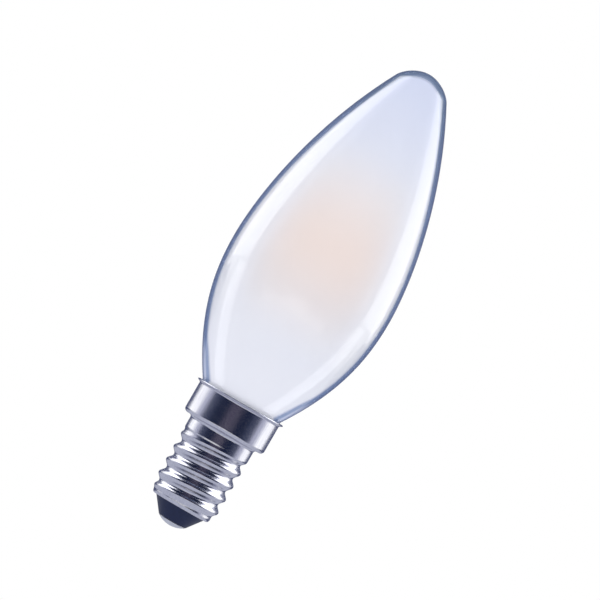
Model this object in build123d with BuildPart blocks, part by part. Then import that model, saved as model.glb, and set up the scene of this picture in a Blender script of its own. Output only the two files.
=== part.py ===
from build123d import *
import math
import os

# Candle lamp with light-emitting filaments: a frosted, sealed glass bulb on a small screw cap.
# Millimetres. The lamp stands cap down on the Z axis, with the tip of its centre contact at the origin.

# Fits
fit_gap = 0.05

# Centre contact and black insulator at the foot of the cap
contact_radius = 2.87
contact_dome = 0.94
dome_bands = 3
contact_shank_radius = 0.9
insulator_cone_height = 3.02
insulator_flange_height = 1.3

# Cap shell, drawn from thin sheet, with a rolled screw thread
sheet = 0.3
foot_overhang = 0.1
foot_turn_in = 0.95
foot_height = 0.6
thread_pitch = 2.822
thread_crest_radius = 6.87
thread_depth = 0.87
thread_length = 13.3
thread_run_in = 1.7
thread_run_out = 1.55
thread_first_crest = 1.89
sections_per_turn = 4
neck_radius = 6.83
neck_height = 2.34
skirt_radius = 8.58
skirt_height = 6.0
step_bevel = 0.55
lip_flare = 0.59
lip_height = 0.5

# Glass bulb, with the number of straight bands that follow each run of its outline
glass_rim_gap = 1.8
glass_neck_height = 3.8
glass_neck_bend = 2.5
glass_neck_lean = 33.3
glass_neck_pull = 12.4
belly_radius = 16.84
belly_height = 27.5
belly_pull_down = 7.5
belly_pull_up = 8.6
shoulder_radius = 5.52
shoulder_drop = 3.15
shoulder_lean = 28.2
shoulder_pull_down = 18.6
shoulder_pull_up = 1.6
tip_pull = 2.4
bulb_height = 72.05
neck_bands = 2
lower_bands = 5
upper_bands = 6
tip_bands = 4

# Driver board inside the cap
board_thickness = 1.0
board_setback = 1.4
board_height = 11.6
board_lift = 1.5
board_side_gap = 0.3
rectifier_width = 4.0
rectifier_length = 3.8
rectifier_height = 8.1
chip_width = 3.9
chip_length = 3.0
chip_height = 2.5
package_thickness = 1.4
pin_width = 0.5
pin_reach = 0.9
pin_thickness = 0.25
pin_pitch = 1.9
fuse_width = 2.0
fuse_length = 1.0
fuse_thickness = 0.5
fuse_height = 10.8
sense_width = 1.4
sense_length = 0.8
sense_thickness = 0.45
sense_height = 4.95
sense_spacing = 2.4
capacitor_radius = 2.5
capacitor_height = 8.0
capacitor_lift = 1.8
capacitor_gap = 0.3
capacitor_lead_radius = 0.25
capacitor_lead_spacing = 2.0
capacitor_lead_drop = 0.8

# Wires, whose hidden rounds are drawn with flats
hidden_flat_count = 12
wire_radius = 0.3
pad_length = 2.4
live_pad_x = -2.6
live_wire_seat = 0.9
neutral_pad_x = 3.7
lead_pad_x = 3.4

# Heights along the axis
insulator_foot_z = contact_dome
shell_foot_z = insulator_foot_z + insulator_cone_height
flange_foot_z = shell_foot_z + sheet + fit_gap
insulator_top_z = flange_foot_z + insulator_flange_height
thread_foot_z = shell_foot_z + foot_height
thread_top_z = thread_foot_z + thread_length
step_z = thread_top_z + neck_height
lip_foot_z = step_z + skirt_height
lip_top_z = lip_foot_z + lip_height
glass_rim_z = step_z + sheet + glass_rim_gap
glass_neck_z = glass_rim_z + glass_neck_height
belly_z = glass_neck_z + belly_height
tip_z = glass_neck_z + bulb_height
shoulder_z = tip_z - shoulder_drop
board_foot_z = insulator_top_z + board_lift
board_top_z = board_foot_z + board_height
capacitor_z = board_foot_z + capacitor_lift

# Places across the axis
thread_valley_radius = thread_crest_radius - thread_depth
shell_bore = thread_valley_radius - sheet
foot_radius = thread_valley_radius + foot_overhang
insulator_collar_radius = foot_radius - foot_turn_in
flange_radius = min(shell_bore, foot_radius - sheet) - fit_gap
lip_radius = skirt_radius + lip_flare
glass_neck_radius = skirt_radius - sheet - fit_gap
pad_y = board_setback - wire_radius - fit_gap
board_back_y = board_setback + board_thickness
board_half_width = math.sqrt((shell_bore - board_side_gap) ** 2 - board_back_y**2)
neutral_end_x = math.sqrt((shell_bore - wire_radius - fit_gap) ** 2 - pad_y**2)
capacitor_y = board_setback - capacitor_gap - capacitor_radius

os.makedirs("parts", exist_ok=True)


def save(piece, node):
    """Label a finished piece and write it as a node of that name."""
    piece.label = node
    export_step(piece, f"parts/{node}.step")


def ease(share):
    """Smooth rise from 0 to 1 with level ends."""
    share = min(max(share, 0.0), 1.0)
    return share * share * (3 - 2 * share)


def leaning(angle, length):
    """Step of a given length, leaning outwards from the axis by an angle."""
    return Vector(length * math.sin(math.radians(angle)), length * math.cos(math.radians(angle)))


def bent_wire(points, radius=wire_radius):
    """Wire along straight runs that meet in sharp bends."""
    with BuildPart() as wire:
        with BuildLine() as path:
            Polyline(*points)
        with BuildSketch(Plane(origin=path.line @ 0, z_dir=path.line % 0)):
            RegularPolygon(radius, hidden_flat_count)
        sweep(path=path.line, transition=Transition.RIGHT)
    return wire.part


def bulb_outline():
    """Points up the outline of the glass, from the end of its straight neck to its tip.

    Each run of the outline is a smooth curve, followed by a few straight bands.
    """
    with BuildLine():
        neck = JernArc((glass_neck_radius, glass_neck_z), (0, 1), glass_neck_bend, -glass_neck_lean)
        neck_end = neck @ 1
        shoulder = Vector(shoulder_radius, shoulder_z)
        lower = Bezier(
            neck_end,
            neck_end + leaning(glass_neck_lean, glass_neck_pull),
            (belly_radius, belly_z - belly_pull_down),
            (belly_radius, belly_z),
        )
        upper = Bezier(
            (belly_radius, belly_z),
            (belly_radius, belly_z + belly_pull_up),
            shoulder - leaning(-shoulder_lean, shoulder_pull_down),
            shoulder,
        )
        tip = Bezier(
            shoulder,
            shoulder + leaning(-shoulder_lean, shoulder_pull_up),
            (tip_pull, tip_z),
            (0, tip_z),
        )
    points = []
    for run, bands in ((neck, neck_bands), (lower, lower_bands), (upper, upper_bands), (tip, tip_bands)):
        points += [run @ (band / bands) for band in range(bands)]
    return points + [tip @ 1]


# Glass bulb, blown to a candle shape, frosted and sealed, so one solid
outline = bulb_outline()
with BuildPart() as glass_envelope:
    with BuildSketch(Plane.XZ):
        with BuildLine():
            Polyline((0, glass_rim_z), (glass_neck_radius, glass_rim_z), *outline, close=True)
        make_face()
    revolve(axis=Axis.Z)
save(glass_envelope.part, "glass_envelope")


def thread_section(height):
    """Radius and centre of the round section at a height of the thread.

    The rolled thread is a round section whose centre circles the axis once in each pitch.
    It swells out of the foot over the run-in and fades into the neck over the run-out.
    """
    mean_radius = (thread_crest_radius + thread_valley_radius) / 2
    throw = (thread_crest_radius - thread_valley_radius) / 2
    grown = ease(height / thread_run_in)
    faded = ease((height - thread_length + thread_run_out) / thread_run_out)
    radius = foot_radius + (mean_radius - foot_radius) * grown + (neck_radius - mean_radius) * faded
    angle = 2 * math.pi * (height - thread_first_crest) / thread_pitch
    offset_from_axis = throw * grown * (1 - faded)
    return radius, (offset_from_axis * math.cos(angle), offset_from_axis * math.sin(angle))


# Cap shell: turned-in foot, rolled thread, neck, step, skirt and flared lip of one drawn sheet
with BuildPart() as cap_shell:
    section_count = round(thread_length / thread_pitch * sections_per_turn)
    for index in range(section_count + 1):
        height = thread_length * index / section_count
        radius, centre = thread_section(height)
        with BuildSketch(Plane.XY.offset(thread_foot_z + height)):
            with Locations(centre):
                Circle(radius)
    loft(ruled=True)
    with BuildSketch(Plane.XY.offset(thread_foot_z)):
        Circle(shell_bore)
    extrude(amount=thread_length, mode=Mode.SUBTRACT)
    with BuildSketch(Plane.XZ):
        with BuildLine() as foot:
            Polyline(
                (insulator_collar_radius + fit_gap, shell_foot_z),
                (foot_radius, shell_foot_z),
                (foot_radius, thread_foot_z),
            )
            offset(foot.line, amount=sheet, side=Side.LEFT, kind=Kind.INTERSECTION)
        make_face()
        with BuildLine() as skirt:
            Polyline(
                (neck_radius, thread_top_z),
                (neck_radius, step_z),
                (skirt_radius - step_bevel, step_z),
                (skirt_radius, step_z + step_bevel),
                (skirt_radius, lip_foot_z),
                (lip_radius, lip_top_z),
            )
            offset(skirt.line, amount=sheet, side=Side.LEFT, kind=Kind.INTERSECTION)
        make_face()
    revolve(axis=Axis.Z)
save(cap_shell.part, "cap_shell")

# Live wire, from the bore of the centre contact to the driver board
live_wire = bent_wire(
    [
        (0, 0, contact_dome + live_wire_seat),
        (0, 0, insulator_top_z + board_lift / 2),
        (live_pad_x, pad_y, board_foot_z + board_lift / 2),
        (live_pad_x, pad_y, board_foot_z + board_lift / 2 + pad_length),
    ]
)
save(live_wire, "live_wire")

# Neutral wire, from the driver board to the inside of the cap shell
neutral_wire = bent_wire(
    [
        (neutral_pad_x, pad_y, board_foot_z + pad_length),
        (neutral_pad_x, pad_y, board_foot_z),
        (neutral_end_x, pad_y, board_foot_z - board_lift / 2),
        (neutral_end_x, pad_y, insulator_top_z + fit_gap),
    ]
)
save(neutral_wire, "neutral_wire")

# Lead-in wires, from the driver board to the foot of the glass
for side, sign in (("left", -1), ("right", 1)):
    lead_in_wire = bent_wire(
        [
            (sign * lead_pad_x, pad_y, board_top_z - pad_length),
            (sign * lead_pad_x, pad_y, glass_rim_z - fit_gap),
        ]
    )
    save(lead_in_wire, f"lead_in_wire_{side}")

# Black insulator, moulded through the foot of the shell, with a bore for the contact's shank
with BuildPart() as cap_insulator:
    with BuildSketch(Plane.XZ):
        with BuildLine():
            Polyline(
                (contact_shank_radius, insulator_foot_z),
                (contact_radius, insulator_foot_z),
                (insulator_collar_radius, shell_foot_z),
                (insulator_collar_radius, flange_foot_z),
                (flange_radius, flange_foot_z),
                (flange_radius, insulator_top_z),
                (contact_shank_radius, insulator_top_z),
                close=True,
            )
        make_face()
    revolve(axis=Axis.Z)
save(cap_insulator.part, "cap_insulator")

# Centre contact: domed head and a shank through the insulator, bored for the live wire
with BuildLine():
    dome = TangentArc((0, 0), (contact_radius, contact_dome), tangent=(1, 0))
with BuildPart() as centre_contact:
    with BuildSketch(Plane.XZ):
        with BuildLine():
            Polyline(
                *[dome @ (band / dome_bands) for band in range(dome_bands)],
                (contact_radius, contact_dome),
                (contact_shank_radius, contact_dome),
                (contact_shank_radius, insulator_top_z),
                (0, insulator_top_z),
                close=True,
            )
        make_face()
    revolve(axis=Axis.Z)
    add(live_wire, mode=Mode.SUBTRACT)
save(centre_contact.part, "centre_contact")

# Driver board, upright in the cap
with BuildPart() as driver_board:
    with BuildSketch(Plane.XZ.offset(-board_setback)):
        with Locations((0, (board_foot_z + board_top_z) / 2)):
            Rectangle(2 * board_half_width, board_height)
    extrude(amount=-board_thickness)
save(driver_board.part, "driver_board")

board_back = Plane.XZ.offset(-board_back_y)


def flat_package(width, length, height):
    """Flat moulded package on the back of the board, with two bent pins on each side."""
    centre_z = board_foot_z + height
    with BuildPart() as package:
        with BuildSketch(board_back.offset(-pin_thickness)):
            with Locations((0, centre_z)):
                Rectangle(width, length)
        extrude(amount=-(package_thickness - pin_thickness))
        chamfer(package.faces().sort_by(Axis.Y)[-1].edges(), pin_thickness)
        with BuildSketch(board_back):
            with Locations((0, centre_z)):
                with GridLocations(0, pin_pitch, 1, 2):
                    Rectangle(width + 2 * pin_reach, pin_width)
        extrude(amount=-pin_thickness)
        with BuildSketch(board_back.offset(-pin_thickness)):
            with Locations((0, centre_z)):
                with GridLocations(width + pin_reach, pin_pitch, 2, 2):
                    Rectangle(pin_reach, pin_width)
        extrude(amount=-(package_thickness / 2 - pin_thickness))
    return package.part


save(flat_package(rectifier_width, rectifier_length, rectifier_height), "bridge_rectifier")
save(flat_package(chip_width, chip_length, chip_height), "driver_chip")

# Chip resistors on the back of the board: the fuse resistor and the pair that sets the current
with BuildPart() as fuse_resistor:
    with BuildSketch(board_back):
        with Locations((0, board_foot_z + fuse_height)):
            Rectangle(fuse_width, fuse_length)
    extrude(amount=-fuse_thickness)
save(fuse_resistor.part, "fuse_resistor")

with BuildPart() as sense_resistors:
    with BuildSketch(board_back):
        with Locations((0, board_foot_z + sense_height)):
            with GridLocations(sense_spacing, 0, 2, 1):
                Rectangle(sense_width, sense_length)
    extrude(amount=-sense_thickness)
save(sense_resistors.part, "sense_resistors")

# Smoothing capacitor: rolled can in front of the board, with two leads bent back to it
with BuildPart() as smoothing_capacitor:
    with BuildSketch(Plane.XY.offset(capacitor_z)):
        with Locations((0, capacitor_y)):
            RegularPolygon(capacitor_radius, hidden_flat_count)
    extrude(amount=capacitor_height)
    for sign in (-1, 1):
        lead_run_x = sign * capacitor_lead_spacing / 2
        add(
            bent_wire(
                [
                    (lead_run_x, capacitor_y, capacitor_z),
                    (lead_run_x, capacitor_y, capacitor_z - capacitor_lead_drop),
                    (lead_run_x, board_setback, capacitor_z - capacitor_lead_drop),
                ],
                capacitor_lead_radius,
            )
        )
save(smoothing_capacitor.part, "smoothing_capacitor")
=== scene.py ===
import math

import bpy
from mathutils import Matrix, Vector


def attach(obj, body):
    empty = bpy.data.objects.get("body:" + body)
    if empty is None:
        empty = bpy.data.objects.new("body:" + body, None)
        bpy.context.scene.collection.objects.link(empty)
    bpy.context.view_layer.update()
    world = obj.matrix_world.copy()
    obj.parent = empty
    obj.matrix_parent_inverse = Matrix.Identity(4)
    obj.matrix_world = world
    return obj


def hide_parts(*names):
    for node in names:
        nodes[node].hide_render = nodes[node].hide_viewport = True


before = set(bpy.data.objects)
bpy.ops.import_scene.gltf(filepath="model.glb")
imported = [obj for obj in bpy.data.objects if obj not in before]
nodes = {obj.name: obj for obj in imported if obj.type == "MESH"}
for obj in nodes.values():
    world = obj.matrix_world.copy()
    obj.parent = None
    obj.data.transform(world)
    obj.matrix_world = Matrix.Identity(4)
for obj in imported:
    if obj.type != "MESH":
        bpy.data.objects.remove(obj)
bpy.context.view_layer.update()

MM = 0.001

# Glass bulb in millimetres and degrees: its outline as on the solid, and a wall, which is only made here
GLASS_WALL = 0.7
GLASS_NECK_RADIUS, GLASS_RIM, GLASS_NECK = 8.23, 22.3, 26.1
GLASS_NECK_BEND, GLASS_NECK_LEAN, GLASS_NECK_PULL = 2.5, 33.3, 12.4
BELLY_RADIUS, BELLY, BELLY_PULL_DOWN, BELLY_PULL_UP = 16.84, 53.6, 7.5, 8.6
SHOULDER_RADIUS, SHOULDER, SHOULDER_LEAN = 5.52, 95.0, 28.2
SHOULDER_PULL_DOWN, SHOULDER_PULL_UP, TIP_PULL, TIP = 18.6, 1.6, 2.4, 98.15

# Cap in millimetres, as on the solids, but with round edges and a leaning foot.
# Its lip starts 0.2 mm higher than on the solid, and is flatter.
SHEET = 0.3
FOOT_INNER, FOOT_RADIUS, FOOT_LEAN, FOOT_CORNER, SHELL_FOOT = 5.2, 6.1, 0.2, 0.45, 3.96
THREAD_FOOT, THREAD_LENGTH, THREAD_PITCH = 4.56, 13.3, 2.822
THREAD_CREST, THREAD_VALLEY, FIRST_CREST, RUN_IN, RUN_OUT = 6.87, 6.0, 1.89, 1.7, 1.55
NECK_RADIUS, STEP, STEP_HOLLOW, STEP_CORNER = 6.83, 20.2, 0.55, 0.8
SKIRT_RADIUS, LIP_FOOT, LIP_RADIUS, LIP_TOP, LIP_BEND = 8.58, 26.4, 9.12, 26.65, 0.3
CONTACT_RADIUS, CONTACT_DOME, CONTACT_EDGE = 2.87, 0.94, 0.06
SHANK_RADIUS, SHANK_HOLLOW, SHANK_EDGE = 0.9, 0.02, 0.05
WIRE_RADIUS, WIRE_SEAT = 0.3, 1.84
COLLAR_RADIUS, FLANGE_RADIUS, FLANGE_FOOT, INSULATOR_TOP = 5.15, 5.65, 4.31, 5.61
CONE_EDGE, COLLAR_HOLLOW, FLANGE_EDGE = 0.12, 0.05, 0.1

# Steps of the round forms
STEPS_AROUND, STEPS_ON_NECK, STEPS_ON_BELLY, STEPS_ON_SHOULDER, STEPS_ON_TIP = 160, 16, 40, 56, 24
STEPS_ON_THREAD, STEPS_ON_CORNER, STEPS_ON_FINE_CORNER, STEPS_ON_EDGE, STEPS_ON_DOME = 112, 8, 4, 8, 24

# Looks of the glass: heights on the axis and depths inside the outline in millimetres, and shares
GLASS_IOR = 1.5
GLOW, GLOW_REACH, GLOW_FACING = 60.5, 22.0, 0.42
THICKER_FROM, THICKER_AT_TIP, SWELL_SHARE = BELLY + 14, 0.8, 0.2
# The rim sizes place a painted dark reflection along the outline of the glass
RIM_FROM, RIM_FULL, RIM_SHIFT = 1.55 * GLASS_WALL, 0.75 * GLASS_WALL, 0.45 * GLASS_WALL
RIM_WIDEST, RIM_WIDENING, TIP_ROUND = BELLY + 26, 1.17, 5.5
# The pale edge sizes place a painted pale reflection at the outermost edge of the glass, low down
PALE_EDGE_FROM, PALE_EDGE_FULL = 0.55 * GLASS_WALL, 0.1 * GLASS_WALL
PALE_EDGE_TOP, PALE_EDGE_FOOT = GLASS_NECK + 9.5, GLASS_NECK + 5
FROST_THICK, FROST_THIN = LIP_TOP, LIP_TOP + 24
IN_CAP_TO, CLEAR_FROM = LIP_FOOT, LIP_FOOT + 1

# Grain and marks in millimetres, as drawn, and their shares in the roughness
ETCHED_GRAIN, WALL_SWELL, DRAW_LINES, LINE_STRETCH, HANDLING_MARKS = 0.35, 12, 0.3, 25, 2.5
PLATE_ROUGHNESS, LINES_SHARE, MARKS_SHARE, GRAIN_SHARE, GLOSS_SPREAD = 0.13, 0.1, 0.04, 0.06, 0.1


# Outlines and turned pieces


def ease(share):
    """Smooth rise from 0 to 1 with level ends."""
    share = min(max(share, 0.0), 1.0)
    return share * share * (3 - 2 * share)


def curve(a, b, c, d, count):
    """Points on a cubic curve, without its first point."""
    points = []
    for index in range(1, count + 1):
        t = index / count
        u = 1 - t
        points.append(u**3 * a + 3 * u * u * t * b + 3 * u * t * t * c + t**3 * d)
    return points


def rounded(points, radii, count=STEPS_ON_CORNER, hold=0.03):
    """Straight runs with an arc of the given radius at each inner corner, held true beside the arc."""
    points = [Vector(p) for p in points]
    line = [points[0]]
    for before, corner, after, radius in zip(points, points[1:], points[2:], radii):
        into, out = (corner - before).normalized(), (after - corner).normalized()
        turn = math.atan2(into.x * out.y - into.y * out.x, into.dot(out))
        start = corner - into * radius * math.tan(abs(turn) / 2)
        centre = start + Vector((-into.y, into.x)) * math.copysign(radius, turn)
        spoke = start - centre
        line.append(start - into * hold)
        for index in range(count + 1):
            line.append(centre + Matrix.Rotation(turn * index / count, 2) @ spoke)
        line.append(line[-1] + out * hold)
    line.append(points[-1])
    return line


def beside(line, gap, sharpest=0.5):
    """The line moved to its left by a gap."""
    moved = []
    for index, point in enumerate(line):
        into = (point - line[max(index - 1, 0)]).normalized()
        out = (line[min(index + 1, len(line) - 1)] - point).normalized()
        into, out = into or out, out or into
        along = (into + out).normalized()
        left = Vector((-along.y, along.x))
        moved.append(point + left * gap / max(along.dot(into), sharpest))
    return moved


def turned(name, outlines, materials, segments=STEPS_AROUND, on_axis=1e-6):
    """Closed mesh turned about Z from closed outlines of (radius, height) in millimetres.

    Each outline has its own material.
    """
    points, faces, slots = [], [], []
    for slot, outline in enumerate(outlines):
        rings = []
        for radius, height in outline:
            around = segments if radius > on_axis else 1
            rings.append(range(len(points), len(points) + around))
            for index in range(around):
                angle = 2 * math.pi * index / segments
                points.append((radius * math.cos(angle) * MM, radius * math.sin(angle) * MM, height * MM))
        for lower, upper in zip(rings, [*rings[1:], rings[0]]):
            if len(lower) == len(upper) == 1:
                continue
            for side in range(segments):
                after = (side + 1) % segments
                if len(lower) == 1:
                    face = (lower[0], upper[after], upper[side])
                elif len(upper) == 1:
                    face = (lower[side], lower[after], upper[0])
                else:
                    face = (lower[side], lower[after], upper[after], upper[side])
                faces.append(face)
                slots.append(slot)
    mesh = bpy.data.meshes.new(name)
    mesh.from_pydata(points, [], faces)
    mesh.polygons.foreach_set("use_smooth", [True] * len(faces))
    mesh.polygons.foreach_set("material_index", slots)
    for material in materials:
        mesh.materials.append(material)
    mesh.update()
    piece = bpy.data.objects.new(name, mesh)
    bpy.context.scene.collection.objects.link(piece)
    return piece


# Materials


def linear(colour):
    """Linear colour of an sRGB hex value."""
    parts = [int(colour[place : place + 2], 16) / 255 for place in (1, 3, 5)]
    return [c / 12.92 if c <= 0.04045 else ((c + 0.055) / 1.055) ** 2.4 for c in parts] + [1.0]


def put(tree, kind, values=None, links=None, **settings):
    """Add a node with its settings, socket values and links."""
    node = tree.nodes.new(kind)
    for name, value in settings.items():
        setattr(node, name, value)
    for name, value in (values or {}).items():
        node.inputs[name].default_value = value
    for name, source in (links or {}).items():
        tree.links.new(source, node.inputs[name])
    return node


def new_material(name):
    """Empty material and its node tree."""
    material = bpy.data.materials.new(name)
    material.use_nodes = True
    material.node_tree.nodes.clear()
    return material, material.node_tree


def from_axis(tree, place):
    """Distance of a spot from the axis."""
    level = put(tree, "ShaderNodeVectorMath", {1: (1.0, 1.0, 0.0)}, {0: place}, operation="MULTIPLY")
    return put(tree, "ShaderNodeVectorMath", links={0: level.outputs[0]}, operation="LENGTH").outputs["Value"]


def etched_grain(tree, place):
    """Grain of the etched glass: near 0.05 mm, and drawn at 0.35 mm so that it shows."""
    etched = {"Scale": 1 / (ETCHED_GRAIN * MM), "Detail": 2.0}
    return put(tree, "ShaderNodeTexNoise", etched, {"Vector": place}).outputs["Fac"]


def thicker_wall(tree, height, swell):
    """How much thicker the wall is: more towards the tip, with the swell of blown glass."""
    upwards = put(
        tree,
        "ShaderNodeMapRange",
        {"From Min": THICKER_FROM * MM, "From Max": TIP * MM, "To Max": THICKER_AT_TIP},
        {"Value": height},
        interpolation_type="SMOOTHSTEP",
    ).outputs["Result"]
    thicker = put(tree, "ShaderNodeMath", {1: SWELL_SHARE}, {0: swell, 2: upwards}, operation="MULTIPLY_ADD")
    return thicker.outputs[0]


def glowing_body(tree, height, facing, thicker):
    """Milky body, bluer where the wall is thicker, that the phosphor inside warms about half way up.

    It is warmest where the view goes straight in.
    """
    milk = {6: linear("#F8F9FA"), 7: linear("#DFE6FA")}
    body = put(tree, "ShaderNodeMix", milk, {0: thicker}, data_type="RGBA").outputs[2]
    above = put(tree, "ShaderNodeMath", {1: GLOW * MM}, {0: height}, operation="SUBTRACT").outputs[0]
    away = put(tree, "ShaderNodeMath", links={0: above}, operation="ABSOLUTE").outputs[0]
    near = put(
        tree,
        "ShaderNodeMapRange",
        {"From Min": GLOW_REACH * MM, "From Max": 0.0},
        {"Value": away},
        interpolation_type="SMOOTHSTEP",
    ).outputs["Result"]
    into = put(
        tree,
        "ShaderNodeMapRange",
        {"From Min": GLOW_FACING, "From Max": 0.0},
        {"Value": facing},
        interpolation_type="SMOOTHSTEP",
    ).outputs["Result"]
    warmth = put(tree, "ShaderNodeMath", links={0: near, 1: into}, operation="MULTIPLY").outputs[0]
    warm = put(tree, "ShaderNodeMix", {7: linear("#FFEFE4")}, {0: warmth, 6: body}, data_type="RGBA")
    return warm.outputs[2]


def depth_inside_outline(tree, place, height, facing):
    """How far inside the outline a spot is seen, and less towards the tip, where the rim is wider."""
    straight = put(tree, "ShaderNodeMath", {0: 1.0}, {1: facing}, operation="SUBTRACT").outputs[0]
    squared = put(tree, "ShaderNodeMath", {1: 2.0}, {0: straight}, operation="POWER").outputs[0]
    rest = put(tree, "ShaderNodeMath", {0: 1.0}, {1: squared}, operation="SUBTRACT").outputs[0]
    across = put(tree, "ShaderNodeMath", links={0: rest}, operation="SQRT").outputs[0]
    inward = put(tree, "ShaderNodeMath", {0: 1.0}, {1: across}, operation="SUBTRACT").outputs[0]
    spread = from_axis(tree, place)
    radius = put(tree, "ShaderNodeMath", {1: TIP_ROUND * MM}, {0: spread}, operation="MAXIMUM").outputs[0]
    depth = put(tree, "ShaderNodeMath", links={0: inward, 1: radius}, operation="MULTIPLY").outputs[0]
    wider = put(
        tree,
        "ShaderNodeMapRange",
        {"From Min": THICKER_FROM * MM, "From Max": RIM_WIDEST * MM, "To Min": 1.0, "To Max": RIM_WIDENING},
        {"Value": height},
    ).outputs["Result"]
    return put(tree, "ShaderNodeMath", links={0: depth, 1: wider}, operation="DIVIDE").outputs[0]


def body_with_painted_rim(tree, body, thicker, inside, painted_rim, low):
    """Body with a painted dark reflection as its rim, and low down with a painted pale reflection outside
    that.
    """
    # Painted dark reflection: the rim colour, darker where the wall is thicker, mixed in along the outline
    painted_rim_colours = {6: linear("#889DC3"), 7: linear("#72839C")}
    painted_rim_colour = put(tree, "ShaderNodeMix", painted_rim_colours, {0: thicker}, data_type="RGBA").outputs[2]
    with_painted_rim = put(tree, "ShaderNodeMix", links={0: painted_rim, 6: body, 7: painted_rim_colour}, data_type="RGBA").outputs[2]
    # Painted pale reflection along the outermost edge, low down towards the neck
    edge = put(
        tree,
        "ShaderNodeMapRange",
        {"From Min": PALE_EDGE_FROM * MM, "From Max": PALE_EDGE_FULL * MM},
        {"Value": inside},
        interpolation_type="SMOOTHSTEP",
    ).outputs["Result"]
    painted_pale_edge = put(tree, "ShaderNodeMath", links={0: edge, 1: low}, operation="MULTIPLY").outputs[0]
    tint = put(tree, "ShaderNodeMix", {7: linear("#C9D4EC")}, {0: painted_pale_edge, 6: with_painted_rim}, data_type="RGBA")
    return tint.outputs[2]


# Soda-lime glass, blown to shape, glossy outside and etched within.
# It gives a cool, milky body with crisp highlights, and a painted dark reflection along the edge where the
# wall is seen end on.
def frosted_soda_lime_glass():
    """Outer face of the bulb."""
    material, tree = new_material("frosted_soda_lime_glass")
    place = put(tree, "ShaderNodeTexCoord").outputs["Object"]
    height = put(tree, "ShaderNodeSeparateXYZ", links={0: place}).outputs["Z"]
    facing = put(tree, "ShaderNodeLayerWeight", {"Blend": 0.5}).outputs["Facing"]
    grain = etched_grain(tree, place)
    # Blown walls swell and thin over about 12 mm
    blown = {"Scale": 1 / (WALL_SWELL * MM), "Detail": 1.0}
    swell = put(tree, "ShaderNodeTexNoise", blown, {"Vector": place}).outputs["Fac"]
    thicker = thicker_wall(tree, height, swell)
    body = glowing_body(tree, height, facing, thicker)
    # Low down, where the wall bends into the neck, a painted pale reflection lies along its outermost edge,
    # and the painted dark line moves in
    low = put(
        tree,
        "ShaderNodeMapRange",
        {"From Min": PALE_EDGE_TOP * MM, "From Max": PALE_EDGE_FOOT * MM},
        {"Value": height},
        interpolation_type="SMOOTHSTEP",
    ).outputs["Result"]
    depth = depth_inside_outline(tree, place, height, facing)
    shift = {1: -RIM_SHIFT * MM}
    inside = put(tree, "ShaderNodeMath", shift, {0: low, 2: depth}, operation="MULTIPLY_ADD").outputs[0]
    # Painted dark reflection: where the wall is seen end on, the colour is painted dark over about its own
    # thickness inside the outline
    painted_rim = put(
        tree,
        "ShaderNodeMapRange",
        {"From Min": RIM_FROM * MM, "From Max": RIM_FULL * MM},
        {"Value": inside},
        interpolation_type="SMOOTHSTEP",
    ).outputs["Result"]
    tint = body_with_painted_rim(tree, body, thicker, inside, painted_rim, low)
    # The frost is thickest towards the neck, and the rim is clearer
    thinning = {"From Min": FROST_THICK * MM, "From Max": FROST_THIN * MM, "To Min": 0.12, "To Max": 0.33}
    clear = put(tree, "ShaderNodeMapRange", thinning, {"Value": height})
    haze = put(tree, "ShaderNodeMapRange", {"To Min": 0.5, "To Max": 0.12}, {"Value": painted_rim}).outputs["Result"]
    speckle = put(tree, "ShaderNodeMath", {1: GRAIN_SHARE}, {0: grain, 2: haze}, operation="MULTIPLY_ADD")
    ripple = put(tree, "ShaderNodeBump", {"Strength": 0.04, "Distance": 0.2 * MM}, {"Height": swell})
    shade = put(
        tree,
        "ShaderNodeBsdfPrincipled",
        {
            "IOR": GLASS_IOR,
            "Specular IOR Level": 0.1,
            "Coat Weight": 1.0,
            "Coat Roughness": 0.02,
            "Coat IOR": GLASS_IOR,
        },
        {
            "Base Color": tint,
            "Transmission Weight": clear.outputs["Result"],
            "Roughness": speckle.outputs[0],
            "Normal": ripple.outputs["Normal"],
            "Coat Normal": ripple.outputs["Normal"],
        },
    )
    put(tree, "ShaderNodeOutputMaterial", links={"Surface": shade.outputs[0]})
    return material


# The etched inner face of the same glass: dull and milky.
# It scatters what passes, and is opaque where the neck sits in the cap.
def etched_inner_glass():
    """Inner face of the bulb."""
    material, tree = new_material("etched_inner_glass")
    place = put(tree, "ShaderNodeTexCoord").outputs["Object"]
    height = put(tree, "ShaderNodeSeparateXYZ", links={0: place}).outputs["Z"]
    grain = etched_grain(tree, place)
    haze = put(tree, "ShaderNodeMapRange", {"To Min": 0.5, "To Max": 0.62}, {"Value": grain})
    above_cap = {"From Min": IN_CAP_TO * MM, "From Max": CLEAR_FROM * MM}
    bare = put(tree, "ShaderNodeMapRange", above_cap, {"Value": height})
    shade = put(
        tree,
        "ShaderNodeBsdfPrincipled",
        {"Base Color": linear("#FFFFFF"), "IOR": GLASS_IOR},
        {"Roughness": haze.outputs["Result"], "Transmission Weight": bare.outputs["Result"]},
    )
    put(tree, "ShaderNodeOutputMaterial", links={"Surface": shade.outputs[0]})
    return material


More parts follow.
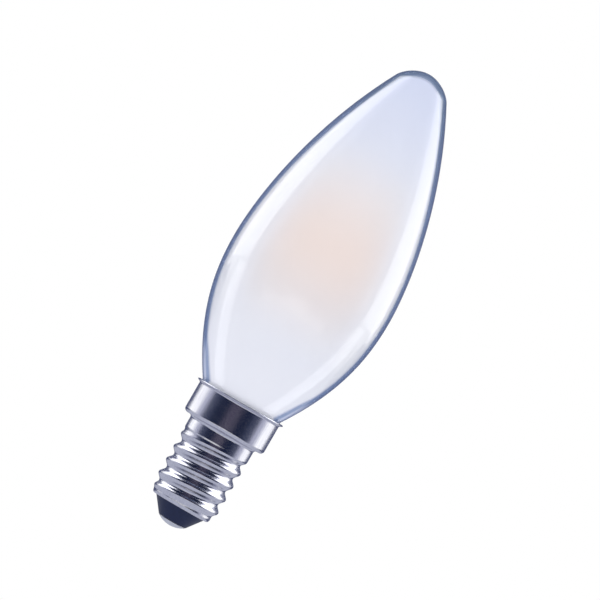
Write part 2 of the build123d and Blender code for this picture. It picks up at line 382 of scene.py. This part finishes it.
# Brass sheet, deep drawn, thread-rolled and nickel plated.
# It is bright and cool, with fine draw lines along the axis and thin handling marks.
def nickel_plated_brass_sheet():
    """Sheet of the cap shell."""
    material, tree = new_material("nickel_plated_brass_sheet")
    place = put(tree, "ShaderNodeTexCoord").outputs["Object"]
    # Draw lines are about 0.1 mm wide, and are drawn at 0.3 mm so that they show
    stretched = {"Scale": (1.0, 1.0, 1 / LINE_STRETCH)}
    drawn = put(tree, "ShaderNodeMapping", stretched, {"Vector": place}).outputs[0]
    fine = {"Scale": 1 / (DRAW_LINES * MM), "Detail": 3.0}
    lines = put(tree, "ShaderNodeTexNoise", fine, {"Vector": drawn}).outputs["Fac"]
    # Handling marks are about 2.5 mm long
    handled = {"Scale": 1 / (HANDLING_MARKS * MM), "Detail": 3.0}
    marks = put(tree, "ShaderNodeTexNoise", handled, {"Vector": place}).outputs["Fac"]
    rougher = {1: LINES_SHARE, 2: PLATE_ROUGHNESS}
    lined = put(tree, "ShaderNodeMath", rougher, {0: lines}, operation="MULTIPLY_ADD").outputs[0]
    gloss = put(tree, "ShaderNodeMath", {1: MARKS_SHARE}, {0: marks, 2: lined}, operation="MULTIPLY_ADD")
    plate = {6: linear("#E5E6EC"), 7: linear("#C4C4CE")}
    tone = put(tree, "ShaderNodeMix", plate, {0: lines}, data_type="RGBA")
    ridges = put(tree, "ShaderNodeBump", {"Strength": 0.03, "Distance": 0.05 * MM}, {"Height": lines})
    shade = put(
        tree,
        "ShaderNodeBsdfPrincipled",
        {"Metallic": 1.0, "Anisotropic": 0.8},
        {
            "Base Color": tone.outputs[2],
            "Roughness": gloss.outputs[0],
            "Normal": ridges.outputs["Normal"],
        },
    )
    put(tree, "ShaderNodeOutputMaterial", links={"Surface": shade.outputs[0]})
    return material


def grained(name, tones, grain_size, dull, detail=3.0, bump=0.2, depth=0.03, finish=None):
    """Material with a grain in its colour, gloss and surface, with sizes in millimetres."""
    material, tree = new_material(name)
    place = put(tree, "ShaderNodeTexCoord").outputs["Object"]
    pattern = {"Scale": 1 / (grain_size * MM), "Detail": detail}
    grain = put(tree, "ShaderNodeTexNoise", pattern, {"Vector": place}).outputs["Fac"]
    ends = {6: linear(tones[0]), 7: linear(tones[1])}
    tone = put(tree, "ShaderNodeMix", ends, {0: grain}, data_type="RGBA")
    spread = {"To Min": dull - GLOSS_SPREAD, "To Max": dull + GLOSS_SPREAD}
    gloss = put(tree, "ShaderNodeMapRange", spread, {"Value": grain})
    rise = put(tree, "ShaderNodeBump", {"Strength": bump, "Distance": depth * MM}, {"Height": grain})
    shade = put(
        tree,
        "ShaderNodeBsdfPrincipled",
        finish,
        {
            "Base Color": tone.outputs[2],
            "Roughness": gloss.outputs["Result"],
            "Normal": rise.outputs["Normal"],
        },
    )
    put(tree, "ShaderNodeOutputMaterial", links={"Surface": shade.outputs[0]})
    return material


frosted_glass = frosted_soda_lime_glass()
etched_glass = etched_inner_glass()
nickel_plate = nickel_plated_brass_sheet()
metal = {"Metallic": 1.0}
# Black insulating glass, pressed hot into the cap: near black with a half gloss and a faint pressed skin
black_glass = grained(
    "pressed_black_insulator_glass",
    ("#101A36", "#1A2546"),
    grain_size=0.8,
    dull=0.4,
    detail=4.0,
    bump=0.15,
    depth=0.05,
    finish={"IOR": GLASS_IOR, "Specular IOR Level": 0.25},
)
# Tinned brass contact: soft silver with a satin, slightly rippled face
tinned_contact = grained(
    "tinned_brass_contact", ("#E6E8EA", "#CFD2D8"), grain_size=1.2, dull=0.32, depth=0.08, finish=metal
)
# The grain of wire, packages and resistors is finer, and is drawn at 0.15 to 0.2 mm so that it shows.
# Nickel-iron wire, drawn and left bare: grey with a soft shine
bare_wire = grained("drawn_nickel_iron_wire", ("#9C9A97", "#BDBAB5"), grain_size=0.2, dull=0.3, finish=metal)
# Glass-fibre laminate under white solder mask: even, with a faint weave below
board = grained("white_masked_laminate", ("#D4D3CB", "#E4E3DC"), grain_size=0.5, dull=0.45)
# Epoxy moulding compound of the packages: charcoal, fine and dull
package = grained("epoxy_moulding_compound", ("#1B1B1D", "#2A2A2C"), grain_size=0.15, dull=0.6)
# Shrunk sleeve of the capacitor: dark blue and half glossy
sleeve = grained("shrunk_capacitor_sleeve", ("#161B2C", "#20273C"), grain_size=0.4, dull=0.35)
# Fired chip resistors: black glaze on alumina
chip = grained("glazed_chip_resistor", ("#1E1A1A", "#322C2B"), grain_size=0.2, dull=0.4)

finishes = {
    "lead_in_wire_left": bare_wire,
    "lead_in_wire_right": bare_wire,
    "live_wire": bare_wire,
    "neutral_wire": bare_wire,
    "driver_board": board,
    "bridge_rectifier": package,
    "driver_chip": package,
    "smoothing_capacitor": sleeve,
    "fuse_resistor": chip,
    "sense_resistors": chip,
}
for name, material in finishes.items():
    nodes[name].data.materials.clear()
    nodes[name].data.materials.append(material)


# Glass bulb: neck, belly, shoulder and tip on one smooth outline, with an even wall


def bulb_outline():
    """Outer outline of the bulb from its rim to its tip."""
    lean = math.radians(GLASS_NECK_LEAN)
    line = [Vector((GLASS_NECK_RADIUS, GLASS_RIM)), Vector((GLASS_NECK_RADIUS, GLASS_NECK))]
    bend = Vector((GLASS_NECK_RADIUS + GLASS_NECK_BEND, GLASS_NECK))
    for index in range(1, STEPS_ON_NECK + 1):
        angle = lean * index / STEPS_ON_NECK
        line.append(bend + GLASS_NECK_BEND * Vector((-math.cos(angle), math.sin(angle))))
    neck = line[-1]
    belly = Vector((BELLY_RADIUS, BELLY))
    shoulder = Vector((SHOULDER_RADIUS, SHOULDER))
    tip = Vector((0.0, TIP))
    slope = math.radians(SHOULDER_LEAN)
    inwards = Vector((-math.sin(slope), math.cos(slope)))
    from_neck = neck + GLASS_NECK_PULL * Vector((math.sin(lean), math.cos(lean)))
    below_belly = belly - Vector((0.0, BELLY_PULL_DOWN))
    above_belly = belly + Vector((0.0, BELLY_PULL_UP))
    below_shoulder = shoulder - SHOULDER_PULL_DOWN * inwards
    above_shoulder = shoulder + SHOULDER_PULL_UP * inwards
    beside_tip = Vector((TIP_PULL, TIP))
    line += curve(neck, from_neck, below_belly, belly, STEPS_ON_BELLY)
    line += curve(belly, above_belly, below_shoulder, shoulder, STEPS_ON_SHOULDER)
    line += curve(shoulder, above_shoulder, beside_tip, tip, STEPS_ON_TIP)
    return line


outer = bulb_outline()
inner = beside(outer, GLASS_WALL)
inner[0].y = GLASS_RIM + GLASS_WALL
inner[-1] = Vector((0.0, TIP - GLASS_WALL))
glass_bulb = turned(
    "frosted_glass_bulb",
    [[Vector((0.0, GLASS_RIM)), *outer], [*reversed(inner), Vector((0.0, GLASS_RIM + GLASS_WALL))]],
    [frosted_glass, etched_glass],
)


# Cap shell: foot, thread, neck, step, skirt and lip of one drawn sheet with rounded edges


def shell_front():
    """Outer face of the shell from its foot to its lip, with the mean radius of the thread."""
    mean_radius = (THREAD_CREST + THREAD_VALLEY) / 2
    foot = (FOOT_RADIUS - FOOT_LEAN, SHELL_FOOT)
    line = rounded([(FOOT_INNER, SHELL_FOOT), foot, (FOOT_RADIUS, THREAD_FOOT)], [FOOT_CORNER])
    for index in range(1, STEPS_ON_THREAD + 1):
        rise = THREAD_LENGTH * index / STEPS_ON_THREAD
        grown = (mean_radius - FOOT_RADIUS) * ease(rise / RUN_IN)
        faded = (NECK_RADIUS - mean_radius) * ease((rise - THREAD_LENGTH + RUN_OUT) / RUN_OUT)
        line.append(Vector((FOOT_RADIUS + grown + faded, THREAD_FOOT + rise)))
    line += rounded(
        [
            (NECK_RADIUS, THREAD_FOOT + THREAD_LENGTH + THREAD_LENGTH / STEPS_ON_THREAD),
            (NECK_RADIUS, STEP),
            (SKIRT_RADIUS, STEP),
            (SKIRT_RADIUS, LIP_FOOT),
            (LIP_RADIUS, LIP_TOP),
        ],
        [STEP_HOLLOW, STEP_CORNER, LIP_BEND],
    )
    return line


def rounded_edge(front, back):
    """Half round from one face of the sheet to the other at its edge, without its ends."""
    centre = (front + back) / 2
    spoke = front - centre
    turns = [math.pi * index / STEPS_ON_EDGE for index in range(1, STEPS_ON_EDGE)]
    return [centre + Matrix.Rotation(turn, 2) @ spoke for turn in turns]


front = shell_front()
back = beside(front, SHEET)
lip_edge = rounded_edge(front[-1], back[-1])
foot_edge = rounded_edge(back[0], front[0])
shell_blank = turned("cap_shell_blank", [[*front, *lip_edge, *reversed(back), *foot_edge]], [nickel_plate])


def thread_rolling():
    """Node tree that rolls the screw thread into the blank: each round section is moved off the axis.

    The centre of the section circles the axis once in each pitch.
    The thread swells over the run-in and fades over the run-out.
    """
    group = bpy.data.node_groups.new("roll_screw_thread", "GeometryNodeTree")
    sockets = group.interface
    sockets.new_socket("Geometry", in_out="INPUT", socket_type="NodeSocketGeometry")
    for name in ("Foot", "Length", "Pitch", "Throw", "First crest", "Run in", "Run out"):
        sockets.new_socket(name, in_out="INPUT", socket_type="NodeSocketFloat")
    sockets.new_socket("Metal", in_out="INPUT", socket_type="NodeSocketMaterial")
    sockets.new_socket("Geometry", in_out="OUTPUT", socket_type="NodeSocketGeometry")
    given = put(group, "NodeGroupInput").outputs
    where = put(group, "GeometryNodeInputPosition").outputs[0]
    height = put(group, "ShaderNodeSeparateXYZ", links={0: where}).outputs["Z"]
    rise = put(group, "ShaderNodeMath", links={0: height, 1: given["Foot"]}, operation="SUBTRACT").outputs[0]
    grown = put(
        group,
        "ShaderNodeMapRange",
        links={"Value": rise, "From Max": given["Run in"]},
        interpolation_type="SMOOTHSTEP",
    ).outputs["Result"]
    left = put(group, "ShaderNodeMath", links={0: given["Length"], 1: rise}, operation="SUBTRACT").outputs[0]
    kept = put(
        group,
        "ShaderNodeMapRange",
        links={"Value": left, "From Max": given["Run out"]},
        interpolation_type="SMOOTHSTEP",
    ).outputs["Result"]
    full = put(group, "ShaderNodeMath", links={0: grown, 1: kept}, operation="MULTIPLY").outputs[0]
    throw = put(group, "ShaderNodeMath", links={0: full, 1: given["Throw"]}, operation="MULTIPLY").outputs[0]
    crest = given["First crest"]
    past = put(group, "ShaderNodeMath", links={0: rise, 1: crest}, operation="SUBTRACT").outputs[0]
    turns = put(group, "ShaderNodeMath", links={0: past, 1: given["Pitch"]}, operation="DIVIDE").outputs[0]
    angle = put(group, "ShaderNodeMath", {1: 2 * math.pi}, {0: turns}, operation="MULTIPLY").outputs[0]
    across = put(group, "ShaderNodeMath", links={0: angle}, operation="COSINE").outputs[0]
    along = put(group, "ShaderNodeMath", links={0: angle}, operation="SINE").outputs[0]
    turn = put(group, "ShaderNodeCombineXYZ", links={"X": across, "Y": along}).outputs[0]
    shift = put(group, "ShaderNodeVectorMath", links={0: turn, "Scale": throw}, operation="SCALE").outputs[0]
    moved = {"Geometry": given["Geometry"], "Offset": shift}
    rolled = put(group, "GeometryNodeSetPosition", links=moved).outputs[0]
    real = put(group, "GeometryNodeRealizeInstances", links={0: rolled}).outputs[0]
    sheet = {"Geometry": real, "Material": given["Metal"]}
    plated = put(group, "GeometryNodeSetMaterial", links=sheet).outputs[0]
    put(group, "NodeGroupOutput", links={0: plated})
    return group


def worked(blank, name, group, sizes):
    """Piece made from a blank by a node tree with the given inputs."""
    modifier = blank.modifiers.new(name, "NODES")
    modifier.node_group = group
    for socket in group.interface.items_tree:
        if socket.in_out == "INPUT" and socket.name in sizes:
            modifier[socket.identifier] = sizes[socket.name]
    mesh = bpy.data.meshes.new_from_object(blank.evaluated_get(bpy.context.evaluated_depsgraph_get()))
    mesh.name = name
    bpy.data.objects.remove(blank)
    piece = bpy.data.objects.new(name, mesh)
    bpy.context.scene.collection.objects.link(piece)
    return piece


cap_shell = worked(
    shell_blank,
    "screw_cap_shell",
    thread_rolling(),
    {
        "Foot": THREAD_FOOT * MM,
        "Length": THREAD_LENGTH * MM,
        "Pitch": THREAD_PITCH * MM,
        "Throw": (THREAD_CREST - THREAD_VALLEY) / 2 * MM,
        "First crest": FIRST_CREST * MM,
        "Run in": RUN_IN * MM,
        "Run out": RUN_OUT * MM,
        "Metal": nickel_plate,
    },
)

# Black insulator with softened edges, bored for the contact
insulator_outline = rounded(
    [
        (SHANK_RADIUS, CONTACT_DOME),
        (CONTACT_RADIUS, CONTACT_DOME),
        (COLLAR_RADIUS, SHELL_FOOT),
        (COLLAR_RADIUS, FLANGE_FOOT),
        (FLANGE_RADIUS, FLANGE_FOOT),
        (FLANGE_RADIUS, INSULATOR_TOP),
        (SHANK_RADIUS, INSULATOR_TOP),
    ],
    [CONE_EDGE, CONE_EDGE, COLLAR_HOLLOW, FLANGE_EDGE, FLANGE_EDGE],
    STEPS_ON_FINE_CORNER,
)
insulator = turned("black_insulator_cone", [insulator_outline], [black_glass])

# Centre contact: shallow dome with a rolled rim, its shank and its riveted top
dome_radius = (CONTACT_RADIUS**2 + CONTACT_DOME**2) / (2 * CONTACT_DOME)
dome_sweep = math.asin(CONTACT_RADIUS / dome_radius)
dome_turns = [dome_sweep * index / STEPS_ON_DOME for index in range(STEPS_ON_DOME)]
dome = [dome_radius * Vector((math.sin(turn), 1 - math.cos(turn))) for turn in dome_turns]
shank = rounded(
    [
        dome[-1],
        (CONTACT_RADIUS, CONTACT_DOME),
        (SHANK_RADIUS, CONTACT_DOME),
        (SHANK_RADIUS, INSULATOR_TOP),
        (WIRE_RADIUS, INSULATOR_TOP),
        (WIRE_RADIUS, WIRE_SEAT),
        (0.0, WIRE_SEAT),
    ],
    [CONTACT_EDGE, SHANK_HOLLOW, SHANK_EDGE, SHANK_EDGE, SHANK_EDGE],
    STEPS_ON_FINE_CORNER,
)
contact = turned("domed_centre_contact", [dome[:-1] + shank], [tinned_contact])

for piece, node, slot in (
    (glass_bulb, "glass_envelope", "frosted_glass"),
    (cap_shell, "cap_shell", "nickel_plate"),
    (insulator, "cap_insulator", "black_insulator"),
    (contact, "centre_contact", "contact_metal"),
):
    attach(piece, "root")
    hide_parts(node)


# Studio in metres and degrees: pale floor, white surround, tall softboxes and dark flags

LOOK_AT = Vector((0.00008, 0.0, 0.0491))
SIDES = (("left", -1), ("right", 1))
FLOOR, FLOOR_RADIUS, FLOOR_SIDES = -0.12, 0.5, 64
FADE_FROM, FADE_TO, FADE_LEAST = 0.3 * FLOOR_RADIUS, 0.95 * FLOOR_RADIUS, 0.4
CARD_RADIUS, CARD_COLUMNS, CARD_ROWS = 0.7, 12, 8
CARD_TOP, REAR_FOOT, ZENITH = 56, -5.5, 90


def studio_card(name, azimuths, elevations, colour, strength):
    """Curved card round the lamp that only shows in reflections.

    Azimuths run from the camera's side round to the right, and elevations up from the horizon.
    """
    points, faces = [], []
    for row in range(CARD_ROWS + 1):
        up = math.radians(elevations[0] + (elevations[1] - elevations[0]) * row / CARD_ROWS)
        for column in range(CARD_COLUMNS + 1):
            side = math.radians(azimuths[0] + (azimuths[1] - azimuths[0]) * column / CARD_COLUMNS)
            spot = Vector((math.sin(side) * math.cos(up), -math.cos(side) * math.cos(up), math.sin(up)))
            points.append(LOOK_AT + CARD_RADIUS * spot)
    for row in range(CARD_ROWS):
        for column in range(CARD_COLUMNS):
            corner = row * (CARD_COLUMNS + 1) + column
            above = corner + CARD_COLUMNS + 1
            faces.append((corner, corner + 1, above + 1, above))
    mesh = bpy.data.meshes.new(name)
    mesh.from_pydata(points, [], faces)
    material, tree = new_material(name)
    light = put(tree, "ShaderNodeEmission", {"Color": linear(colour), "Strength": strength})
    put(tree, "ShaderNodeOutputMaterial", links={"Surface": light.outputs[0]})
    mesh.materials.append(material)
    card = bpy.data.objects.new(name, mesh)
    bpy.context.scene.collection.objects.link(card)
    card.visible_camera = card.visible_diffuse = card.visible_shadow = False
    card.visible_transmission = False


# Cards of each side: name, azimuths, elevations, colour and strength
side_cards = (
    ("softbox", (94, 121), (-9, CARD_TOP), "#FFFFFF", 1.5),
    ("softbox_wing", (121, 132), (REAR_FOOT, CARD_TOP), "#FFFFFF", 1.5),
    ("grey_flag", (73, 94), (-22, CARD_TOP), "#C8CADF", 1.0),
    ("slate_flag", (48, 73), (-18, CARD_TOP), "#3E455E", 1.0),
    ("dark_flag", (16, 48), (-13, CARD_TOP), "#16213D", 1.0),
    ("rear_flag", (132, 180), (REAR_FOOT, CARD_TOP), "#4E5678", 1.0),
    ("low_rear_flag", (121, 180), (-60, REAR_FOOT), "#4E5678", 1.0),
)
for side, sign in SIDES:
    for name, (start, end), elevations, colour, strength in side_cards:
        studio_card(f"{name}_{side}", (sign * start, sign * end), elevations, colour, strength)
studio_card("front_flag", (-16, 16), (-9, CARD_TOP), "#544F62", 1.0)
studio_card("front_top_flag", (-93, 93), (CARD_TOP, ZENITH), "#2B3350", 1.0)
studio_card("rear_top_flag", (93, 267), (CARD_TOP, ZENITH), "#A9B1CC", 1.0)


# Pale matt floor: near white with the shadow of the lamp on it, lost in the white surround
def pale_floor():
    """Floor that is white or grey in glass and metal, and clear from below."""
    material, tree = new_material("pale_floor")
    rays = put(tree, "ShaderNodeLightPath").outputs
    matt = put(tree, "ShaderNodeBsdfDiffuse", {"Color": linear("#F2F2F6")}).outputs[0]
    white = put(tree, "ShaderNodeEmission", {"Color": linear("#FFFFFF"), "Strength": 1.0}).outputs[0]
    mirrored = put(tree, "ShaderNodeEmission", {"Color": linear("#C6C9D9"), "Strength": 1.0}).outputs[0]
    clear = put(tree, "ShaderNodeBsdfTransparent").outputs[0]
    place = put(tree, "ShaderNodeTexCoord").outputs["Object"]
    fade = put(
        tree,
        "ShaderNodeMapRange",
        {"From Min": FADE_FROM, "From Max": FADE_TO, "To Min": FADE_LEAST, "To Max": 1.0},
        {"Value": from_axis(tree, place)},
        interpolation_type="SMOOTHSTEP",
    ).outputs["Result"]
    seen = {0: fade, 1: rays["Is Camera Ray"]}
    share = put(tree, "ShaderNodeMath", links=seen, operation="MULTIPLY").outputs[0]
    below = put(tree, "ShaderNodeNewGeometry").outputs["Backfacing"]
    shade = matt
    for part, look in (
        (share, white),
        (rays["Is Transmission Ray"], white),
        (rays["Is Glossy Ray"], mirrored),
        (below, clear),
    ):
        shade = put(tree, "ShaderNodeMixShader", links={0: part, 1: shade, 2: look}).outputs[0]
    put(tree, "ShaderNodeOutputMaterial", links={"Surface": shade})
    return material


floor_turns = [2 * math.pi * index / FLOOR_SIDES for index in range(FLOOR_SIDES)]
floor_mesh = bpy.data.meshes.new("floor")
floor_mesh.from_pydata(
    [(FLOOR_RADIUS * math.cos(turn), FLOOR_RADIUS * math.sin(turn), FLOOR) for turn in floor_turns],
    [],
    [list(range(FLOOR_SIDES))],
)
floor_mesh.materials.append(pale_floor())
floor = bpy.data.objects.new("floor", floor_mesh)
bpy.context.scene.collection.objects.link(floor)


def white_surround():
    """World that is white to the camera and in reflections, and a cool even fill on the lamp."""
    world = bpy.data.worlds.new("studio")
    world.use_nodes = True
    tree = world.node_tree
    tree.nodes.clear()
    rays = put(tree, "ShaderNodeLightPath").outputs
    seen = rays["Is Camera Ray"]
    for ray in ("Is Glossy Ray", "Is Transmission Ray"):
        seen = put(tree, "ShaderNodeMath", links={0: seen, 1: rays[ray]}, operation="MAXIMUM").outputs[0]
    fill = put(tree, "ShaderNodeBackground", {"Color": linear("#F6F7FF"), "Strength": 1.0}).outputs[0]
    white = put(tree, "ShaderNodeBackground", {"Color": linear("#FFFFFF"), "Strength": 1.0}).outputs[0]
    surround = put(tree, "ShaderNodeMixShader", links={0: seen, 1: fill, 2: white})
    put(tree, "ShaderNodeOutputWorld", links={"Surface": surround.outputs[0]})
    return world


bpy.context.scene.world = white_surround()


# Lamps: a broad soft pair above the camera, and pairs that show only as reflections on glass or cap


def lamp_pair(name, azimuth, distance, height, size, radiance, shown_on=None, level=False):
    """Left and right area lamps that face the part, or stand upright, placed as seen from it.

    A lamp that is shown on a piece makes only its reflection there.
    """
    for side, sign in SIDES:
        data = bpy.data.lights.new(f"{name}_{side}", "AREA")
        data.shape = "RECTANGLE"
        data.size, data.size_y = size
        data.energy = radiance * math.pi * size[0] * size[1]
        lamp = bpy.data.objects.new(f"{name}_{side}", data)
        bpy.context.scene.collection.objects.link(lamp)
        turn = math.radians(sign * azimuth)
        away = Vector((distance * math.sin(turn), -distance * math.cos(turn), height))
        facing_away = Vector((away.x, away.y, 0.0)) if level else away
        pointed = facing_away.to_track_quat("Z", "Y").to_matrix().to_4x4()
        lamp.matrix_world = Matrix.Translation(LOOK_AT + away) @ pointed
        lamp.visible_camera = False
        if shown_on:
            lamp.visible_diffuse = lamp.visible_transmission = False
            lamp.light_linking.receiver_collection = shown_on
        else:
            lamp.visible_glossy = False


def alone(name, piece):
    """Collection that holds one piece, for a lamp to show on."""
    collection = bpy.data.collections.new(name)
    collection.objects.link(piece)
    return collection


glass_alone = alone("glass_alone", glass_bulb)
cap_alone = alone("cap_alone", cap_shell)
lamp_pair("soft_lamp", azimuth=42, distance=0.6, height=0.6, size=(0.45, 0.45), radiance=1.9)
lamp_pair(
    "tall_strip",
    azimuth=109.4,
    distance=0.36,
    height=0.258,
    size=(0.232, 0.554),
    radiance=1.3,
    shown_on=glass_alone,
    level=True,
)
lamp_pair(
    "low_strip",
    azimuth=95,
    distance=0.137,
    height=-0.082,
    size=(0.056, 0.16),
    radiance=1.5,
    shown_on=glass_alone,
)
lamp_pair(
    "high_patch",
    azimuth=103,
    distance=0.35,
    height=0.283,
    size=(0.46, 0.275),
    radiance=1.9,
    shown_on=cap_alone,
)

# Camera: level, square to the lamp and rolled, so that the lamp leans to the right as in the photograph
DISTANCE, FRAME_WIDTH, SENSOR_WIDTH, ROLL = 1.6, 0.1132, 36.0, math.radians(30)
camera_data = bpy.data.cameras.new("camera")
camera_data.sensor_width = SENSOR_WIDTH
camera_data.lens = SENSOR_WIDTH * DISTANCE / FRAME_WIDTH
camera = bpy.data.objects.new("camera", camera_data)
bpy.context.scene.collection.objects.link(camera)
rightwards = Vector((math.cos(ROLL), 0.0, math.sin(ROLL)))
upwards = Vector((-math.sin(ROLL), 0.0, math.cos(ROLL)))
backwards = rightwards.cross(upwards)
pointed = Matrix((rightwards, upwards, backwards)).transposed().to_4x4()
camera.matrix_world = Matrix.Translation(LOOK_AT + DISTANCE * backwards) @ pointed
bpy.context.scene.camera = camera
bpy.context.scene.view_settings.view_transform = "Standard"
